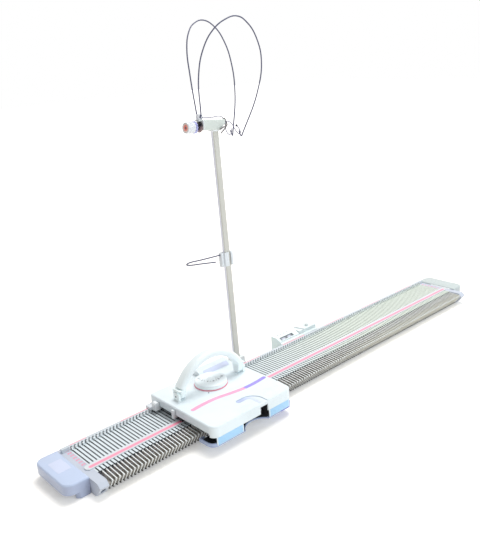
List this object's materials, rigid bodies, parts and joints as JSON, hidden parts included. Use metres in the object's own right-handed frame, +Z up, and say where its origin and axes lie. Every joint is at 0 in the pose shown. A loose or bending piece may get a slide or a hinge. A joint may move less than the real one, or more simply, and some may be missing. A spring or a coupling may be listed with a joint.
{
  "type": "flat-bed knitting machine",
  "caption": "Home flat-bed knitting machine: long bed of hooked needles, hand-pushed carriage with folding handle, row counter and yarn mast with tension unit.",
  "frame": {"origin": "on the table, under the middle of the needle bed", "axes": "+X along the bed to the right, +Y to the back, +Z up"},
  "size_m": [1.086, 0.2441, 0.6588],
  "materials": {
    "base_grey": "satin grey paint",
    "rubber": "matt black",
    "channel_white": "smooth pale blue-white plastic",
    "peg_white": "smooth white plastic",
    "strip_pink": "white strip with a pink line",
    "rail_grey": "satin grey with pink dashes",
    "needle_steel": "polished needle steel",
    "end_grey": "fine-grained light grey",
    "cap_white": "smooth blue-white",
    "cover_white": "smooth blue-white with a pink and violet line",
    "black_plate": "semi-gloss black",
    "cam_steel": "ground steel",
    "glide_plastic": "smooth white",
    "shoe_white": "smooth white",
    "lever_white": "smooth white",
    "ring_pink": "smooth pink",
    "dial_white": "smooth white with plain numbers",
    "handle_white": "smooth blue-white",
    "pin_steel": "turned steel",
    "plate_blue": "gloss light blue",
    "tray_steel": "satin grey-violet",
    "brush_black": "black bristle",
    "feeder_steel": "polished steel",
    "counter_white": "smooth green-white",
    "lens_clear": "clear",
    "wheel_white": "pale wheels with plain digits",
    "button_grey": "smooth grey",
    "holder_grey": "fine-grained light grey",
    "mast_grey": "satin",
    "clip_grey": "fine-grained grey",
    "wire_steel": "bright spring wire",
    "wire_dark": "dark spring wire",
    "unit_white": "smooth green-white",
    "disc_steel": "polished",
    "spring_steel": "spring steel",
    "knob_white": "white with a lavender toothed ring and a red end",
    "post_white": "smooth white"
  },
  "bodies": {
    "bed": {"bed_base": "base_grey", "rubber_feet": "rubber", "channel_plate": "channel_white", "gate_pegs": "peg_white", "needle_retainer": "strip_pink", "back_rail": "rail_grey", "end_plate_left": "end_grey", "end_plate_right": "end_grey", "end_cap_left": "cap_white", "end_cap_right": "cap_white", "mast_holder": "holder_grey", "mast": "mast_grey", "counter_case": "counter_white", "counter_lens": "lens_clear", "counter_spindle": "pin_steel", "tension_body": "unit_white", "tension_spindle": "pin_steel", "inner_disc": "disc_steel", "outer_disc": "disc_steel", "tension_spring": "spring_steel", "wire_post": "post_white", "yarn_hooks": "wire_dark"},
    "needle_bank_left": {"needles_left": "needle_steel"},
    "needle_bank_middle": {"needles_middle": "needle_steel"},
    "needle_bank_right": {"needles_right": "needle_steel"},
    "carriage": {"carriage_cover": "cover_white", "cam_plate": "black_plate", "cams": "cam_steel", "carriage_glides": "glide_plastic", "rail_shoe_left": "shoe_white", "rail_shoe_right": "shoe_white", "dial_ring": "ring_pink", "handle_ear_left": "handle_white", "handle_ear_right": "handle_white", "handle_pins": "pin_steel", "front_plate_left": "plate_blue", "front_plate_right": "plate_blue", "sinker_plate": "tray_steel", "brush_pins": "pin_steel", "yarn_feeder": "feeder_steel"},
    "handle": {"handle": "handle_white"},
    "stitch_dial": {"stitch_dial": "dial_white"},
    "side_lever_left": {"side_lever_left": "lever_white"},
    "side_lever_right": {"side_lever_right": "lever_white"},
    "rear_lever_left": {"rear_lever_left": "lever_white"},
    "rear_lever_right": {"rear_lever_right": "lever_white"},
    "brush_wheel_left": {"brush_wheel_left": "brush_black"},
    "brush_wheel_right": {"brush_wheel_right": "brush_black"},
    "units_wheel": {"units_wheel": "wheel_white"},
    "tens_wheel": {"tens_wheel": "wheel_white"},
    "trip_lever": {"trip_lever": "lever_white"},
    "reset_button": {"reset_button": "button_grey"},
    "guide_clip": {"guide_clip": "clip_grey", "guide_wire": "wire_steel"},
    "tension_knob": {"tension_knob": "knob_white"},
    "takeup_wire_back": {"takeup_wire_back": "wire_steel"},
    "takeup_wire_front": {"takeup_wire_front": "wire_steel"}
  },
  "joints": [
    {"name": "carriage_travel", "type": "slide", "parent": "bed", "child": "carriage", "axis": [1, 0, 0], "range_m": [-0.165, 0.63]},
    {"name": "needles_left_out", "type": "slide", "parent": "bed", "child": "needle_bank_left", "axis": [0, -1, 0], "range_m": [0, 0.045]},
    {"name": "needles_middle_out", "type": "slide", "parent": "bed", "child": "needle_bank_middle", "axis": [0, -1, 0], "range_m": [0, 0.045]},
    {"name": "needles_right_out", "type": "slide", "parent": "bed", "child": "needle_bank_right", "axis": [0, -1, 0], "range_m": [0, 0.045]},
    {"name": "handle_fold", "type": "hinge", "parent": "carriage", "child": "handle", "pos_m": [-0.2315, 0.011, 0.059], "axis": [1, 0, 0], "range_deg": [0, 70]},
    {"name": "stitch_dial_turn", "type": "hinge", "parent": "carriage", "child": "stitch_dial", "pos_m": [-0.226, 0.0145, 0.051], "axis": [0, 0, 1], "range_deg": [0, 300]},
    {"name": "side_lever_left_set", "type": "slide", "parent": "carriage", "child": "side_lever_left", "axis": [0, 1, 0], "range_m": [0, 0.012]},
    {"name": "rear_lever_left_set", "type": "slide", "parent": "carriage", "child": "rear_lever_left", "axis": [0, -1, 0], "range_m": [0, 0.01]},
    {"name": "brush_wheel_left_spin", "type": "hinge", "parent": "carriage", "child": "brush_wheel_left", "pos_m": [-0.29, -0.082, 0.019], "axis": [0, 0, 1], "continuous": true},
    {"name": "side_lever_right_set", "type": "slide", "parent": "carriage", "child": "side_lever_right", "axis": [0, 1, 0], "range_m": [0, 0.012]},
    {"name": "rear_lever_right_set", "type": "slide", "parent": "carriage", "child": "rear_lever_right", "axis": [0, -1, 0], "range_m": [0, 0.01]},
    {"name": "brush_wheel_right_spin", "type": "hinge", "parent": "carriage", "child": "brush_wheel_right", "pos_m": [-0.173, -0.082, 0.019], "axis": [0, 0, 1], "continuous": true},
    {"name": "units_wheel_turn", "type": "hinge", "parent": "bed", "child": "units_wheel", "pos_m": [0.031, 0.08, 0.0255], "axis": [1, 0, 0], "continuous": true},
    {"name": "tens_wheel_turn", "type": "hinge", "parent": "bed", "child": "tens_wheel", "pos_m": [0.031, 0.08, 0.0255], "axis": [1, 0, 0], "continuous": true},
    {"name": "trip_lever_swing", "type": "hinge", "parent": "bed", "child": "trip_lever", "pos_m": [0.078, 0.088, 0.038], "axis": [0, 0, 1], "range_deg": [-20, 20], "stiffness_Nm_per_rad": 0.02},
    {"name": "reset_button_press", "type": "slide", "parent": "bed", "child": "reset_button", "axis": [0, 0, -1], "range_m": [0, 0.0018], "stiffness_N_per_m": 300},
    {"name": "guide_clip_slide", "type": "slide", "parent": "bed", "child": "guide_clip", "axis": [0, 0.0436, 0.999], "range_m": [-0.18, 0.18]},
    {"name": "tension_knob_turn", "type": "hinge", "parent": "bed", "child": "tension_knob", "pos_m": [-0.16856, 0.09655, 0.48374], "axis": [-0.9976, 0, 0.0698], "range_deg": [-160, 160]},
    {"name": "takeup_back_lift", "type": "hinge", "parent": "bed", "child": "takeup_wire_back", "pos_m": [-0.13995, 0.09729, 0.49877], "axis": [0.003, -0.999, 0.0435], "range_deg": [0, 60]},
    {"name": "takeup_front_lift", "type": "hinge", "parent": "bed", "child": "takeup_wire_front", "pos_m": [-0.13995, 0.09729, 0.49877], "axis": [0.003, -0.999, 0.0435], "range_deg": [0, 60]}
  ],
  "couplings": [
    {"joint": "tens_wheel_turn", "follows": "units_wheel_turn", "ratio": 0.1}
  ]
}
